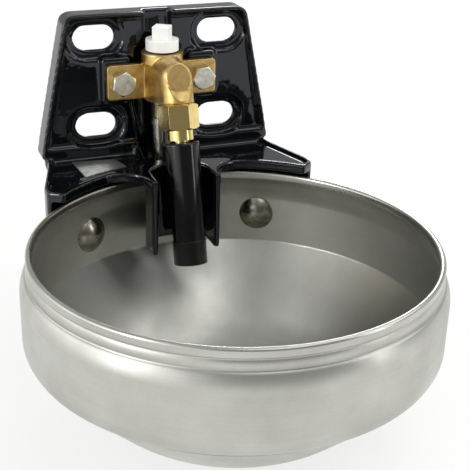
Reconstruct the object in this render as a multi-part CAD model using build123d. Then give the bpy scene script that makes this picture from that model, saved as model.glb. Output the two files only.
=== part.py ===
from build123d import *
import os
from math import cos, radians, sin, sqrt

os.makedirs("parts", exist_ok=True)

# Every shape is drawn about the bowl: its axis is Z, the rim plane is z = 0, +Y is the wall.
# At export all of them move together, so that the origin is the centre of the wall slots.

# ---- Sizes in mm -------------------------------------------------------------------------
mount_z = 64.3              # height of the slot pattern's centre above the rim

sheet = 1.5                 # stainless sheet of the bowl
rim_r = 127.0               # inside radius at the rolled rim
bead_w, bead_h = 4.0, 6.3   # rolled rim, width and height
neck_r = rim_r + 3.3        # outside radius just under the rolled rim
step_z = -12.4              # step between neck and body
body_r = neck_r + 5.3       # outside radius of the straight wall
corner_z = -55.0            # where the wall starts to curve in
crease_r, crease_z = body_r - 14.6, corner_z - 17.8
dish_depth = 50.2           # from the crease to the lowest point

seat_gap = 0.05             # paint or sealant film between seated faces

iron = 4.5                  # wall thickness of the casting
wall_y = body_r + 40.4      # wall plane, measured from the bowl's axis
plate_depth = 19.0          # from the wall to the plate's raised border
plate_front_y = wall_y - plate_depth
plate_top_z, plate_low_z = 114.0, 11.0
plate_top_half, plate_waist_half, plate_low_half = 68.0, 80.5, 88.5
plate_waist_z = 52.0
tray_depth = 2.6            # plate face behind that border
border, low_border = 3.0, 7.0
plate_back_y = plate_front_y + tray_depth + iron

slot_l, slot_h = 30.0, 17.4
slot_columns, slot_rows = 93.0, 64.6
pocket_l, pocket_h, pocket_depth = 42.5, 30.5, 2.6
foot_wall = 4.0             # oval feet round the slots, at the back

trough_top_half, trough_waist_half = 10.0, 16.5
trough_half, trough_low_half = 20.5, 14.5
trough_y = wall_y - 10.0    # floor of the trough behind the valve
trough_low_z = -8.0

shelf_top_z, shelf_t = 8.0, 5.0
lip_top_z, lip_low_z = 10.6, 3.2
lip_r_in, lip_r_out = rim_r - 1.6, rim_r + 4.5
lip_angle = 44.95           # the lip ends at this angle either side of the middle
lip_end_x, lip_end_y = lip_r_in * sin(radians(lip_angle)), lip_r_in * cos(radians(lip_angle))
arm_half, arm_back_y, arm_front_y = lip_end_x + 9.9, lip_end_y + 17.2, lip_end_y + 8.2
shoulder_r = 20.0           # flare from the lip into the guard
skirt_r = body_r + seat_gap
skirt_t = 5.6
skirt_low_z = -56.0
boss_r, boss_h = 12.0, 2.2  # raised seats of the bowl bolts' washers
web_low_z, rib_low_z = -24.0, -34.0

channel_half = 25.5         # guard round the tube, half its outside width
channel_wall = 4.4
channel_front_y = rim_r - 35.0
channel_back_y = rim_r - 0.8
channel_corner_r = 18.0
channel_low_z = -46.0

rivet_angle = 28.6          # bowl bolts, either side of the middle
rivet_z = -34.6
cup_r, cup_h = 12.8, 5.4    # cup heads inside the bowl
bolt_r = 5.0                # M10 throughout
bolt_hole_r = 5.5
bolt_l = 25.0
hex_flats = 16.0            # M10 head and nut across flats
head_h, nut_h = 6.4, 8.0
washer_r, washer_t = 10.0, 2.0

flange_front_y, flange_t = wall_y - 27.8, 5.4
flange_half, flange_low_z, flange_top_z = 40.9, 53.6, 78.9
bolt_x, bolt_z = 30.0, 66.3
pad_l, pad_h = 22.0, 34.0   # raised pads behind the flange
run_y = flange_front_y + 1.0        # upright water way of the brass body
run_r, run_low_z, run_top_z = 13.3, 52.0, 79.0
collar_r, collar_top_z = 15.0, 87.3
branch_z, branch_r = 75.6, 11.5

outlet_y, outlet_z = wall_y - 64.5, 50.0    # middle of the union nut
lean = 15.3                         # outlet and tube lean forward by this angle
outlet_r = 11.4
bevel_depth, bevel_top, bevel_low = 6.4, 23.0, 9.6      # flat on the front of the elbow
nut_flats, nut_low, nut_high = 24.0, -9.5, 8.6
neck_out_r, neck_low = 9.2, -16.6   # plain neck under the union nut's hexagon

ball_s, ball_r = -3.0, 6.6          # ball of the spindle, on the outlet's axis
ball_gap = 0.3
liner_t = 1.5
stem_r = 4.9
stub_r, stub_top = 3.6, 7.6         # stub above the ball's middle
bore_r = 2.4
pad_t, foot_t = 1.6, 2.2            # rubber pad and foot of the plunger
pad_low = ball_s + stub_top + ball_gap
spring_low = pad_low + pad_t + foot_t + 0.5
spring_h, spring_r, wire_r = 13.8, 3.9, 0.45

tube_top, tube_end = -18.3, -104.4
tube_r_top, tube_r_low = 13.1, 11.0
tube_bore_r = 7.4
sleeve_top, sleeve_r = -88.0, 12.0

plug_r, plug_top_z = 11.9, 96.0
plug_square, plug_square_top = 11.6, 105.2
plug_thread_r = 9.3
gasket_t = 1.0

tail_thread_r, tail_pitch = 8.33, 1.337     # G 3/8 thread under the body
tail_ridges = 10
tail_low_z = -4.0

UP = (Align.CENTER, Align.CENTER, Align.MIN)
DOWN = (Align.CENTER, Align.CENTER, Align.MAX)
outlet_axis = Plane(origin=(0, outlet_y, outlet_z), x_dir=(1, 0, 0),
                    z_dir=(0, sin(radians(lean)), cos(radians(lean))))


# ---- Helpers -----------------------------------------------------------------------------
def upright(radius, low, high, x=0.0, y=0.0):
    """Vertical cylinder between two heights."""
    return Pos(x, y, low) * Cylinder(radius, high - low, align=UP)


def along_outlet(radius, low, high):
    """Cylinder on the leaning outlet axis between two distances along it."""
    return outlet_axis * Pos(0, 0, low) * Cylinder(radius, high - low, align=UP)


def ball_at_pivot(radius):
    """Sphere round the point that the spindle tilts about."""
    return outlet_axis * Pos(0, 0, ball_s) * Sphere(radius)


def prism(sketch, travel):
    """Extrude every face of a sketch along a vector, whichever way the face looks."""
    solid = Part()
    for face in sketch.faces():
        looks_along = face.normal_at().dot(travel) > 0
        solid += Solid.extrude(face if looks_along else -face, travel)
    return solid


def toward_wall(sketch, front_y, back_y):
    """Extrude a front-view sketch (X across, Z up) from one depth back to another."""
    plane = Plane(origin=(0, front_y, 0), x_dir=(1, 0, 0), z_dir=(0, -1, 0))
    return prism(plane * sketch, Vector(0, back_y - front_y, 0))


def upward(sketch, low, high):
    """Extrude a plan-view sketch between two heights."""
    return prism(Plane.XY.offset(low) * sketch, Vector(0, 0, high - low))


def mirrored_polygon(half):
    """Face through points given for the +X half, mirrored to the other half."""
    points = list(half) + [(-x, y) for x, y in reversed(half)]
    return make_face(Polyline(*points, close=True))


def radial(angle, z):
    """Frame on the bowl's axis whose Z points outward at an angle from +Y."""
    return Plane(origin=(0, 0, z), x_dir=(cos(radians(angle)), -sin(radians(angle)), 0),
                 z_dir=(sin(radians(angle)), cos(radians(angle)), 0))


def hexagon(flats, height):
    """Hexagonal prism standing on z = 0."""
    return extrude(RegularPolygon(flats / 2, 6, major_radius=False), amount=height)


def chamfered_hexagon(flats, height, both_ends=False):
    """Hexagonal prism whose corners are turned off at 30 degrees on the outer end."""
    reach = flats * 0.9
    cone_top = flats * 0.475
    body = hexagon(flats, height)
    slope = (reach - cone_top) * 0.577
    limit = Pos(0, 0, height) * Cone(reach, cone_top, slope, align=DOWN)
    limit += Pos(0, 0, -1) * Cylinder(reach, height + 1 - slope, align=UP)
    body = body & limit
    if both_ends:
        body = body & (Pos(0, 0, height) * Rot(180, 0, 0) * limit)
    return body


# ---- Bowl --------------------------------------------------------------------------------
def moved_inward(points, distance):
    """The same profile points, each moved square to the local direction of the line."""
    moved = []
    for i, (r, z) in enumerate(points):
        before, after = points[max(i - 1, 0)], points[min(i + 1, len(points) - 1)]
        dr, dz = after[0] - before[0], after[1] - before[1]
        length = sqrt(dr * dr + dz * dz)
        moved.append((r + dz / length * distance, z - dr / length * distance))
    return moved


def bowl():
    """Spun stainless bowl: rolled rim, neck, step, straight wall, crease and dished bottom."""
    wall = [(body_r, step_z - 3.4), (body_r, corner_z), (body_r - 1.1, corner_z - 6.2),
            (body_r - 5.5, corner_z - 11.4), (crease_r, crease_z)]
    dish_shape = [(0.988, 0.02), (0.906, 0.251), (0.785, 0.538), (0.702, 0.713), (0.595, 0.865),
                  (0.38, 0.972), (0.0, 1.0)]
    dish = [(crease_r * out, crease_z - dish_depth * down) for out, down in dish_shape]
    inner_wall, inner_dish = moved_inward(wall, sheet), moved_inward(dish, sheet)
    inner_wall[0] = (body_r - sheet, wall[0][1])
    inner_dish[-1] = (0.0, dish[-1][1] + sheet)
    with BuildSketch(Plane.XZ) as section:
        with BuildLine():
            Polyline((neck_r - sheet, -bead_h + 2), (neck_r, -bead_h + 2), (neck_r, -bead_h),
                     (neck_r + 1.2, step_z + 0.9), (neck_r + 2.2, step_z), wall[0])
            Line(wall[0], wall[1])
            Spline(*wall[1:], tangents=[(0, -1), (-0.72, -0.62)])
            Line(wall[-1], dish[0])
            Spline(*dish, tangents=[(-0.6, -0.8), (-1, 0)])
            Line(dish[-1], inner_dish[-1])
            Spline(*reversed(inner_dish), tangents=[(1, 0), (0.6, 0.8)])
            Line(inner_dish[0], inner_wall[-1])
            Spline(*reversed(inner_wall[1:]), tangents=[(0.72, 0.62), (0, 1)])
            Line(inner_wall[1], inner_wall[0])
            Polyline(inner_wall[0], (neck_r + 2.2 - sheet, step_z - 0.9),
                     (neck_r + 1.2 - sheet, step_z), (neck_r - sheet, -bead_h),
                     (neck_r - sheet, -bead_h + 2))
        make_face()
    with BuildSketch(Plane.XZ) as bead:
        with Locations((rim_r + bead_w / 2, 1 - bead_h / 2)):
            RectangleRounded(bead_w, bead_h, bead_w / 2 - 0.05)
    shape = revolve(section.sketch, Axis.Z, 360) + revolve(bead.sketch, Axis.Z, 360)
    for side in (-1, 1):
        shape -= radial(side * rivet_angle, rivet_z) * Pos(0, 0, body_r / 2) * Cylinder(
            bolt_hole_r, body_r, align=UP)
    return shape


# ---- Bracket casting ---------------------------------------------------------------------
def plate_outline(inset=0.0):
    """Front view of the plate: straight upper sides that flare out near the bottom."""
    half = [(plate_top_half, plate_top_z), (plate_waist_half, plate_waist_z),
            (plate_waist_half + 4.4, plate_waist_z - 21), (plate_low_half, plate_low_z)]
    outline = mirrored_polygon(half)
    waist = [v for v in outline.vertices() if plate_low_z + 1 < v.Y < plate_top_z - 1]
    outline = fillet(waist, radius=55)
    top = [v for v in outline.vertices() if v.Y > plate_top_z - 1]
    outline = fillet(top, radius=9)
    return offset(outline, amount=-inset) if inset else outline


def trough_outline(extra=0.0):
    """Front view of the trough behind the valve, optionally a wall thickness larger."""
    half = [(trough_top_half, plate_top_z + 8), (trough_top_half, 97),
            (trough_waist_half, 86), (trough_waist_half, flange_low_z),
            (trough_half, flange_low_z - 6.6), (trough_half - 3, 32),
            (trough_low_half, plate_low_z), (trough_low_half, trough_low_z)]
    return mirrored_polygon([(x + extra, z) for x, z in half])


def slot_places():
    """Centres of the four wall slots in front view."""
    return [(sx * slot_columns / 2, mount_z + sz * slot_rows / 2)
            for sx in (-1, 1) for sz in (-1, 1)]


def slot_oval(length, height, x, z):
    """Oval lying across, centred on one slot."""
    return Pos(x, z) * SlotOverall(length, height)


def plate():
    """Hollow-backed wall plate with raised border, slot pockets, slots and oval feet."""
    outline = plate_outline()
    shape = toward_wall(outline, plate_front_y, wall_y)
    above = Pos(0, plate_low_z + low_border) * Rectangle(
        4 * plate_low_half, 2 * plate_top_z, align=(Align.CENTER, Align.MIN))
    shape -= toward_wall(plate_outline(border) & above, plate_front_y - 1,
                         plate_front_y + tray_depth)
    shape -= toward_wall(plate_outline(iron), plate_back_y, wall_y + 1)
    heel = Pos(0, shelf_top_z - shelf_t) * Rectangle(
        2 * (plate_low_half - 2.6), plate_low_z + low_border - shelf_top_z + shelf_t,
        align=(Align.CENTER, Align.MIN))
    shape += toward_wall(heel, plate_front_y, plate_back_y)
    pocket_floor = plate_front_y + tray_depth + pocket_depth
    for x, z in slot_places():
        foot = toward_wall(slot_oval(pocket_l + 2 * foot_wall, pocket_h + 2 * foot_wall, x, z),
                           plate_back_y - 1, wall_y)
        shape += foot & toward_wall(outline, plate_front_y, wall_y)
    for x, z in slot_places():
        shape -= toward_wall(slot_oval(pocket_l - 1, pocket_h - 1, x, z),
                             pocket_floor + iron, wall_y + 1)
        pocket = toward_wall(slot_oval(pocket_l, pocket_h, x, z), plate_front_y - 1, pocket_floor)
        shape -= pocket & toward_wall(plate_outline(border), 0, wall_y)
        shape -= toward_wall(slot_oval(slot_l, slot_h, x, z), plate_front_y, wall_y)
    return shape


def flange_pads():
    """Two raised pads that the valve's flange is bolted to."""
    pads = [Pos(side * (bolt_x + 2.5), bolt_z) * RectangleRounded(pad_l, pad_h, 2.5)
            for side in (-1, 1)]
    return [toward_wall(pad, flange_front_y + flange_t + seat_gap, plate_back_y) for pad in pads]


def shelf_plan():
    """Plan of the shelf that reaches from the plate to both ends of the lip."""
    return mirrored_polygon([(plate_low_half - 5, plate_front_y + 6),
                             (plate_low_half - 2.6, plate_front_y - 7), (arm_half, arm_back_y),
                             (arm_half, arm_front_y), (lip_end_x, lip_end_y)])


def guard_plan(inset=0.0):
    """U of the guard in plan, solid; an inset gives the room for the tube, open in front."""
    front_y = channel_front_y - 4 * inset
    back_y = channel_back_y - inset
    block = Pos(0, (front_y + back_y) / 2) * Rectangle(2 * (channel_half - inset),
                                                       back_y - front_y)
    back = [v for v in block.vertices() if v.Y > back_y - 1]
    return fillet(back, radius=channel_corner_r - inset)


def lip_plan():
    """Plan of the lip over the rim, with the flared shoulders of the guard."""
    ring = (Circle(lip_r_out) - Circle(lip_r_in)) & shelf_plan()
    block = Pos(0, (channel_front_y + channel_back_y) / 2) * Rectangle(
        2 * channel_half, channel_back_y - channel_front_y)
    both = ring + block
    inner = [v for v in both.vertices()
             if abs(abs(v.X) - channel_half) < 0.5 and v.Y > channel_front_y + 15
             and v.Y < lip_r_in]
    return fillet(inner, radius=shoulder_r)


def guard_walls():
    """U-shaped guard that hangs inside the bowl round the back of the tube."""
    walls = upward(guard_plan() - guard_plan(channel_wall), channel_low_z, lip_top_z)
    front = [e for e in walls.edges().filter_by(Axis.Z)
             if abs(e.center().Y - channel_front_y) < 0.1]
    return fillet(front, radius=channel_wall * 0.43)


def lower_arms():
    """Skirt round the back of the bowl, side webs and the two ribs that stand on the wall."""
    wedge = upward(shelf_plan(), skirt_low_z, shelf_top_z)
    skirt = upward(Circle(skirt_r + skirt_t) - Circle(skirt_r), skirt_low_z, lip_low_z + 1)
    shape = skirt & wedge
    plan = shelf_plan() - Circle(skirt_r)
    webs = plan - offset(plan, amount=-iron)
    webs -= Pos(0, plate_front_y) * Rectangle(2 * plate_low_half - 5 * iron, 12)
    webs -= Circle(skirt_r + skirt_t - 1)
    shape += upward(webs, web_low_z, shelf_top_z - 1)
    side_view = make_face(Polyline(
        (skirt_r + 2, shelf_top_z - 2), (skirt_r + 2, skirt_low_z), (wall_y - 26, skirt_low_z),
        (wall_y, rib_low_z), (wall_y, plate_low_z + 3), (plate_front_y, plate_low_z + 3),
        close=True))
    rib = extrude(Plane.YZ * side_view, amount=iron)
    for x in (trough_low_half + 0.5, -trough_low_half - 0.5 - iron):
        shape += Pos(x, 0, 0) * rib
    return shape


def bracket():
    """The whole black casting as one solid."""
    shape = plate()
    for pad in flange_pads():
        shape += pad
    front = Pos(0, trough_low_z) * Rectangle(4 * trough_half, plate_top_z - trough_low_z,
                                             align=(Align.CENTER, Align.MIN))
    shape += toward_wall(trough_outline(extra=iron) & front, plate_back_y - 1, trough_y + iron)
    shelf = upward(shelf_plan() - Circle(lip_r_in + 2), shelf_top_z - shelf_t, shelf_top_z)
    edge = shelf_plan() - offset(shelf_plan(), amount=-border) - Circle(lip_r_out)
    edge -= Pos(0, plate_front_y + 4) * Rectangle(3 * plate_low_half, 12)
    shelf += upward(edge, shelf_top_z - 1, lip_top_z)
    shape += shelf
    shape += upward(lip_plan(), lip_low_z, lip_top_z)
    shape += guard_walls()
    shape += lower_arms()
    shape -= toward_wall(trough_outline(), plate_front_y - 15, trough_y)
    shape -= upward(guard_plan(channel_wall), channel_low_z - 1, lip_top_z + 1)
    for side in (-1, 1):
        bolt = Pos(side * bolt_x, bolt_z)
        shape -= toward_wall(bolt * Circle(bolt_hole_r), flange_front_y - 8, wall_y)
        shape -= toward_wall(bolt * Circle(hex_flats * 0.6), plate_back_y, wall_y)
        place = radial(side * rivet_angle, rivet_z)
        shape += place * Pos(0, 0, skirt_r + 2) * Cylinder(boss_r, skirt_t + boss_h - 2, align=UP)
        shape -= place * Pos(0, 0, skirt_r - 4) * Cylinder(bolt_hole_r, 20, align=UP)
    room = Circle(skirt_r) - guard_plan()
    return shape - upward(room, skirt_low_z - 1, lip_low_z)


# ---- Fasteners ---------------------------------------------------------------------------
def bowl_bolts():
    """Two cup-head bolts through the bowl's wall, head inside, underside to the wall's curve."""
    wall = upward(Circle(body_r - sheet), rivet_z - 2 * cup_r, 0)
    group = []
    for side in (-1, 1):
        place = radial(side * rivet_angle, rivet_z)
        sphere_r = (cup_r ** 2 + cup_h ** 2) / (2 * cup_h)
        base = body_r - sheet - 0.6
        dome = Pos(0, 0, base - cup_h + sphere_r) * Sphere(sphere_r)
        dome = dome & (Pos(0, 0, base) * Cylinder(cup_r, 3 * cup_h, align=DOWN))
        rim = Pos(0, 0, base - 0.4) * Cylinder(cup_r, 3, align=UP)
        head = (place * (dome + rim)) & wall
        shank = place * Pos(0, 0, base - 1) * Cylinder(bolt_r, bolt_l, align=UP)
        group.append(head + shank)
    return group


def bowl_washers():
    """Plain washers under the nuts of the bowl bolts."""
    seat = skirt_r + skirt_t + boss_h + seat_gap
    ring = Cylinder(washer_r, washer_t, align=UP) - Cylinder(bolt_hole_r, washer_t, align=UP)
    return [radial(side * rivet_angle, rivet_z) * Pos(0, 0, seat) * ring for side in (-1, 1)]


def nut():
    """M10 hexagon nut standing on z = 0."""
    return chamfered_hexagon(hex_flats, nut_h, both_ends=True) - Cylinder(bolt_r, nut_h, align=UP)


def bowl_nuts():
    """Nuts of the two bowl bolts, behind the bracket's skirt."""
    seat = skirt_r + skirt_t + boss_h + washer_t + 2 * seat_gap
    return [radial(side * rivet_angle, rivet_z) * Pos(0, 0, seat) * nut() for side in (-1, 1)]


def flange_bolts():
    """Two hexagon-head bolts that hold the valve's flange."""
    group = []
    for side in (-1, 1):
        head = Rot(0, 0, 8 if side > 0 else 22) * chamfered_hexagon(hex_flats, head_h)
        bolt = head + Cylinder(bolt_r, bolt_l, align=DOWN)
        place = Plane(origin=(side * bolt_x, flange_front_y - seat_gap, bolt_z),
                      x_dir=(1, 0, 0), z_dir=(0, -1, 0))
        group.append(place * bolt)
    return group


def flange_nuts():
    """Nuts of the flange bolts, in the hollow back of the plate."""
    return [Plane(origin=(side * bolt_x, plate_back_y + seat_gap, bolt_z), x_dir=(1, 0, 0),
                  z_dir=(0, 1, 0)) * nut() for side in (-1, 1)]


# ---- Brass valve -------------------------------------------------------------------------
def valve_body():
    """Brass casting: upright run, flange, forward branch and the leaning outlet."""
    run = upright(run_r, run_low_z, run_top_z + 1, y=run_y)
    run += upright(collar_r, run_top_z, collar_top_z, y=run_y)
    run += upright(run_r - 0.8, run_top_z - 1.2, run_top_z, y=run_y)
    flange_view = Pos(0, (flange_low_z + flange_top_z) / 2) * RectangleRounded(
        2 * flange_half, flange_top_z - flange_low_z, 2.6)
    shape = run + toward_wall(flange_view, flange_front_y, flange_front_y + flange_t)
    elbow_s = (branch_z - outlet_z) / cos(radians(lean))
    elbow_y = outlet_y + elbow_s * sin(radians(lean))
    shape += toward_wall(Pos(0, branch_z) * Circle(branch_r), elbow_y, run_y)
    shape += Pos(0, elbow_y, branch_z) * Sphere(branch_r)
    shape += along_outlet(outlet_r, nut_high + 0.2, elbow_s)
    flat = make_face(Polyline((-2 * branch_r, elbow_s + 20), (-bevel_depth, elbow_s + 20),
                              (-bevel_depth, bevel_top), (-outlet_r - 0.3, bevel_low),
                              (-2 * branch_r, bevel_low), close=True))
    side_plane = Plane(origin=(0, outlet_y, outlet_z),
                       x_dir=(0, cos(radians(lean)), -sin(radians(lean))), z_dir=(1, 0, 0))
    shape -= extrude(side_plane * flat, amount=2 * branch_r, both=True)
    shape += along_outlet(9.9, 2.6, nut_high + 1)
    shape -= upright(7.2, run_low_z + 8, collar_top_z, y=run_y)
    shape -= upright(plug_thread_r, 76.5, collar_top_z + 1, y=run_y)
    shape -= upright(tail_thread_r, run_low_z - 1, run_low_z + 10, y=run_y)
    shape -= toward_wall(Pos(0, branch_z - 1.5) * Circle(6.0), elbow_y, run_y)
    shape -= along_outlet(7.4, 2, 16.6) + along_outlet(4.9, 16, 23.5)
    for side in (-1, 1):
        shape -= toward_wall(Pos(side * bolt_x, bolt_z) * Circle(bolt_hole_r),
                             flange_front_y - 1, flange_front_y + flange_t + 1)
    return shape


def inlet_plug():
    """White plastic plug with a square head and a round flange, screwed in from above."""
    shape = upright(plug_r, collar_top_z + gasket_t, plug_top_z, y=run_y)
    shape += Pos(0, run_y, plug_top_z - 1) * Rot(0, 0, 10) * Box(
        plug_square, plug_square, plug_square_top - plug_top_z + 1, align=UP)
    shape += upright(plug_thread_r - 0.05, 77.5, collar_top_z + gasket_t + 1, y=run_y)
    return shape - upright(5.5, 77, 90, y=run_y)


def plug_gasket():
    """Flat ring between the plug's flange and the collar."""
    return (upright(plug_r - 0.6, collar_top_z, collar_top_z + gasket_t, y=run_y)
            - upright(plug_thread_r, collar_top_z, collar_top_z + gasket_t, y=run_y))


def supply_tail():
    """Plated supply nipple under the body: ringed thread, shoulder and tapering smooth tail."""
    shape = upright(tail_thread_r - 0.6, 34, run_low_z + 9.5, y=run_y)
    for i in range(tail_ridges):
        z = run_low_z - 0.2 - (i + 1) * tail_pitch
        ridge = Cone(tail_thread_r - 0.6, tail_thread_r - 0.05, tail_pitch / 2, align=UP)
        ridge += Pos(0, 0, tail_pitch / 2) * Cone(tail_thread_r - 0.05, tail_thread_r - 0.6,
                                                  tail_pitch / 2, align=UP)
        shape += Pos(0, run_y, z) * ridge
    shape += upright(tail_thread_r, 33.5, 36.4, y=run_y)
    shape += Pos(0, run_y, tail_low_z) * Cone(5.6, tail_thread_r - 0.3, 34 - tail_low_z, align=UP)
    return shape - upright(4.2, tail_low_z - 1, 70, y=run_y)


def union_nut():
    """Polished hexagon nut with a plain neck; its inside holds the ball's liner."""
    height = nut_high - nut_low
    shape = outlet_axis * Pos(0, 0, nut_low) * Rot(0, 0, 11) * chamfered_hexagon(
        nut_flats, height, both_ends=True)
    shape += along_outlet(neck_out_r, neck_low, nut_low + 1)
    shape -= along_outlet(9.95, 0.8, nut_high + 1)
    socket = ball_at_pivot(ball_r + liner_t + 2 * ball_gap)
    shape -= socket
    shape -= along_outlet(ball_r + liner_t + 2 * ball_gap, ball_s, 3)
    shape -= along_outlet(6.9, neck_low - 1, nut_low + 1)
    return shape


def seat_ring():
    """Insert clamped above the ball: guides the plunger and carries the spring's load."""
    ring = along_outlet(9.8, 0.9, 2.55) + along_outlet(7.3, 2.5, 16.5)
    ring -= ball_at_pivot(ball_r + liner_t + 2 * ball_gap)
    ring -= along_outlet(6.0, 0, 17)
    for angle in (0, 90):
        hole = outlet_axis * Pos(0, 0, 14.2) * Rot(0, 0, angle) * Rot(90, 0, 0) * Cylinder(1.6, 20)
        ring -= hole
    return ring


def ball_liner():
    """Plastic cup round the ball: it swings sideways only, and the ball rocks in it."""
    shell = ball_at_pivot(ball_r + liner_t + ball_gap) - ball_at_pivot(ball_r + ball_gap)
    band = along_outlet(20, ball_s - 3.9, ball_s + 3.2)
    return shell & band


def spindle():
    """Hollow brass spindle: ball, top stub, stem and the barbed end that holds the tube."""
    shape = ball_at_pivot(ball_r)
    shape += along_outlet(stub_r, ball_s, ball_s + stub_top)
    shape += along_outlet(stem_r, tube_top - 2, ball_s)
    shape += along_outlet(tube_bore_r - 0.6, tube_top - 24, tube_top - 1)
    for i in range(3):
        low = tube_top - 23 + i * 7
        shape += outlet_axis * Pos(0, 0, low) * Cone(tube_bore_r - 0.6, tube_bore_r - seat_gap, 5,
                                                     align=UP)
    return shape - along_outlet(bore_r, tube_top - 25, 20)


def plunger():
    """Small plunger with a rubber-faced foot over the spindle's hollow top."""
    foot = pad_low + pad_t
    return along_outlet(5.7, foot, foot + foot_t) + along_outlet(2.2, foot + 2, foot + 7)


def plunger_pad():
    """Rubber disc under the plunger that closes the spindle's water way."""
    return along_outlet(5.2, pad_low, pad_low + pad_t)


def return_spring():
    """Coil spring that presses the plunger down."""
    coil = Helix(pitch=2.3, height=spring_h, radius=spring_r)
    wire = sweep(Plane(origin=coil @ 0, z_dir=coil % 0) * Circle(wire_r), path=coil)
    return outlet_axis * Pos(0, 0, spring_low) * wire


def strainer():
    """Perforated cup in the branch that keeps grit from the seat."""
    low, high = outlet_y + 14.5, outlet_y + 28.0
    view = Pos(0, branch_z - 1.5) * (Circle(5.9) - Circle(5.1))
    shape = toward_wall(view, low, high)
    shape += toward_wall(Pos(0, branch_z - 1.5) * Circle(5.9), low, low + 0.9)
    for i in range(3):
        for angle in (0, 60, 120):
            place = Pos(0, low + 3.6 + 3.6 * i, branch_z - 1.5) * Rot(0, angle, 0)
            shape -= place * Cylinder(1.1, 20)
    return shape


# ---- Tube --------------------------------------------------------------------------------
def valve_tube():
    """Black tube that the animal pushes; it tapers towards its lower end."""
    length = tube_top - tube_end
    shape = outlet_axis * Pos(0, 0, tube_end) * Cone(tube_r_low, tube_r_top, length, align=UP)
    top = shape.faces().sort_by(Axis.Z)[-1].edges()
    shape = fillet(top, radius=1.6)
    shape -= along_outlet(tube_bore_r, tube_end - 1, tube_top + 1)
    lip = tube_top - 3.4
    return shape - along_outlet(tube_bore_r + 1.2, lip, tube_top + 1)


def tube_sleeve():
    """Close-fitting sleeve round the tube's lower end."""
    shape = along_outlet(sleeve_r, tube_end - 0.8, sleeve_top)
    shape = fillet(shape.edges().filter_by(GeomType.CIRCLE), radius=0.5)
    length = tube_top - tube_end
    bore = outlet_axis * Pos(0, 0, tube_end) * Cone(
        tube_r_low + seat_gap, tube_r_top + seat_gap, length, align=UP)
    return shape - bore - along_outlet(tube_bore_r + 0.8, tube_end - 2, tube_end + 2)


# ---- Export ------------------------------------------------------------------------------
to_mount = Pos(0, -wall_y, -mount_z)

nodes = {
    "bowl": bowl, "bracket": bracket, "bowl_bolts": bowl_bolts, "bowl_washers": bowl_washers,
    "bowl_nuts": bowl_nuts, "flange_bolts": flange_bolts, "flange_nuts": flange_nuts,
    "valve_body": valve_body, "inlet_plug": inlet_plug, "plug_gasket": plug_gasket,
    "supply_tail": supply_tail, "strainer": strainer, "union_nut": union_nut,
    "seat_ring": seat_ring, "ball_liner": ball_liner, "spindle": spindle, "plunger": plunger,
    "plunger_pad": plunger_pad, "return_spring": return_spring, "valve_tube": valve_tube,
    "tube_sleeve": tube_sleeve,
}

for name, make in nodes.items():
    made = make()
    solids = made if isinstance(made, list) else [made]
    placed = [to_mount * solid for shape in solids for solid in shape.solids()]
    export_step(placed[0] if len(placed) == 1 else Compound(children=placed), f"parts/{name}.step")
    print(name, len(placed), [round(s.volume) for s in placed], flush=True)
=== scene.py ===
import logging
import math
from dataclasses import dataclass, field
from enum import Enum
from typing import Dict, List, Optional, Sequence, Tuple, Union

import bmesh
import bpy
from mathutils import Matrix, Vector
from mathutils.geometry import interpolate_bezier


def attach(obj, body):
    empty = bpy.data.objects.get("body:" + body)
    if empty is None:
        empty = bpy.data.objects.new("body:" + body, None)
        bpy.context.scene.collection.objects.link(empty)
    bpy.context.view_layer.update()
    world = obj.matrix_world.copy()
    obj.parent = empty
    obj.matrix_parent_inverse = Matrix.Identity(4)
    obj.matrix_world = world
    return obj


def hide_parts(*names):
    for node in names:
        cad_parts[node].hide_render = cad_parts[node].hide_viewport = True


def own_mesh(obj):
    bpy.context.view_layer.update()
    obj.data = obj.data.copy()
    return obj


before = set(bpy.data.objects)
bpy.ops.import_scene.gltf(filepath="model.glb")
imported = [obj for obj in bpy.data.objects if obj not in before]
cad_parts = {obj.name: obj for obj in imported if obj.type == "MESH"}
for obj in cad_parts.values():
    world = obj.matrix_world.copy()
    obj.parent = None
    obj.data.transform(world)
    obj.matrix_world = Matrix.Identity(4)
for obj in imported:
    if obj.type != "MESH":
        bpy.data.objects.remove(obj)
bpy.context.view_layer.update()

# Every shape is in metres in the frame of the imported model: the origin is the centre of the
# wall slots, +Y is into the wall and +Z is up. Sizes in the classes are millimetres.

MM = 0.001
BOWL_AXIS_Y = -0.176        # the bowl's axis, seen from above, in metres
BOWL_RIM_Z = -0.0643        # the plane of the rim, in metres
RUN_Y = -26.8               # the upright axis of the valve body's run, in millimetres
WELD = 1e-6                 # points closer than this are one point, in metres
log = logging.getLogger("drinking_bowl")

Value = Union[float, Sequence[float], bpy.types.NodeSocket]


class Body(Enum):
    """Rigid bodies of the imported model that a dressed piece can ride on."""

    BASE = "base"
    TUBE = "tube"


# ---- Colours and nodes ----------------------------------------------------------------------
def linear(hex_colour: str) -> Tuple[float, float, float, float]:
    """Turns an sRGB colour into the linear values that the shaders use.

    Args:
        hex_colour: Six hexadecimal digits after a number sign.

    Returns:
        Red, green, blue and an alpha of one.
    """
    parts = [int(hex_colour[i:i + 2], 16) / 255 for i in (1, 3, 5)]
    flat = [p / 12.92 if p <= 0.04045 else ((p + 0.055) / 1.055) ** 2.4 for p in parts]
    return flat[0], flat[1], flat[2], 1.0


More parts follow.
